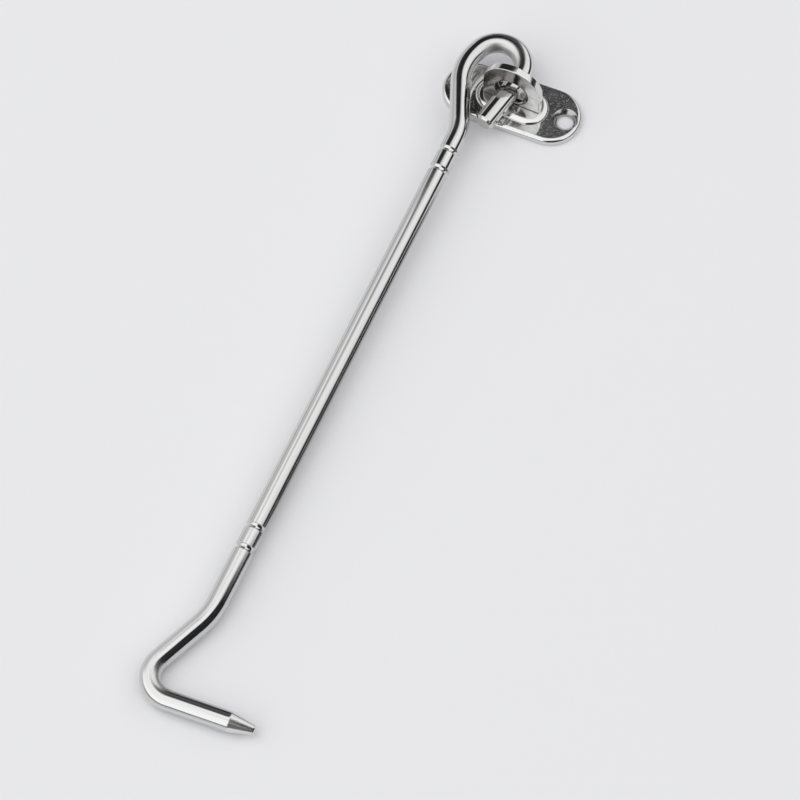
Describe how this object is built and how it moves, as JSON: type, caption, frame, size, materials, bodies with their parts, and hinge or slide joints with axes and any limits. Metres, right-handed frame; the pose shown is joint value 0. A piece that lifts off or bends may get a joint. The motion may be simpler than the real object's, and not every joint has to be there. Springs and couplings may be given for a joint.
{
  "type": "hook and eye latch",
  "caption": "Cabin hook of bent round bar with a conical tip, linked through the eye of a small screw plate.",
  "frame": {"origin": "centre of the plate's back face, which lies on the table or wall", "axes": "+Z out of the plate's face, X along the plate, the hook lies towards -Y"},
  "size_m": [0.0433, 0.1995, 0.0173],
  "materials": {
    "plate_steel": "polished stainless steel",
    "eye_steel": "polished cast stainless steel",
    "bar_steel": "polished stainless bar"
  },
  "bodies": {
    "base": {"base_plate": "plate_steel", "eye": "eye_steel"},
    "hook": {"hook_rod": "bar_steel"}
  },
  "joints": [
    {"name": "hook_swing", "type": "hinge", "parent": "base", "child": "hook", "pos_m": [-0.009, 0.003, 0.0069], "axis": [0, 0, 1], "range_deg": [-110, 24]}
  ]
}
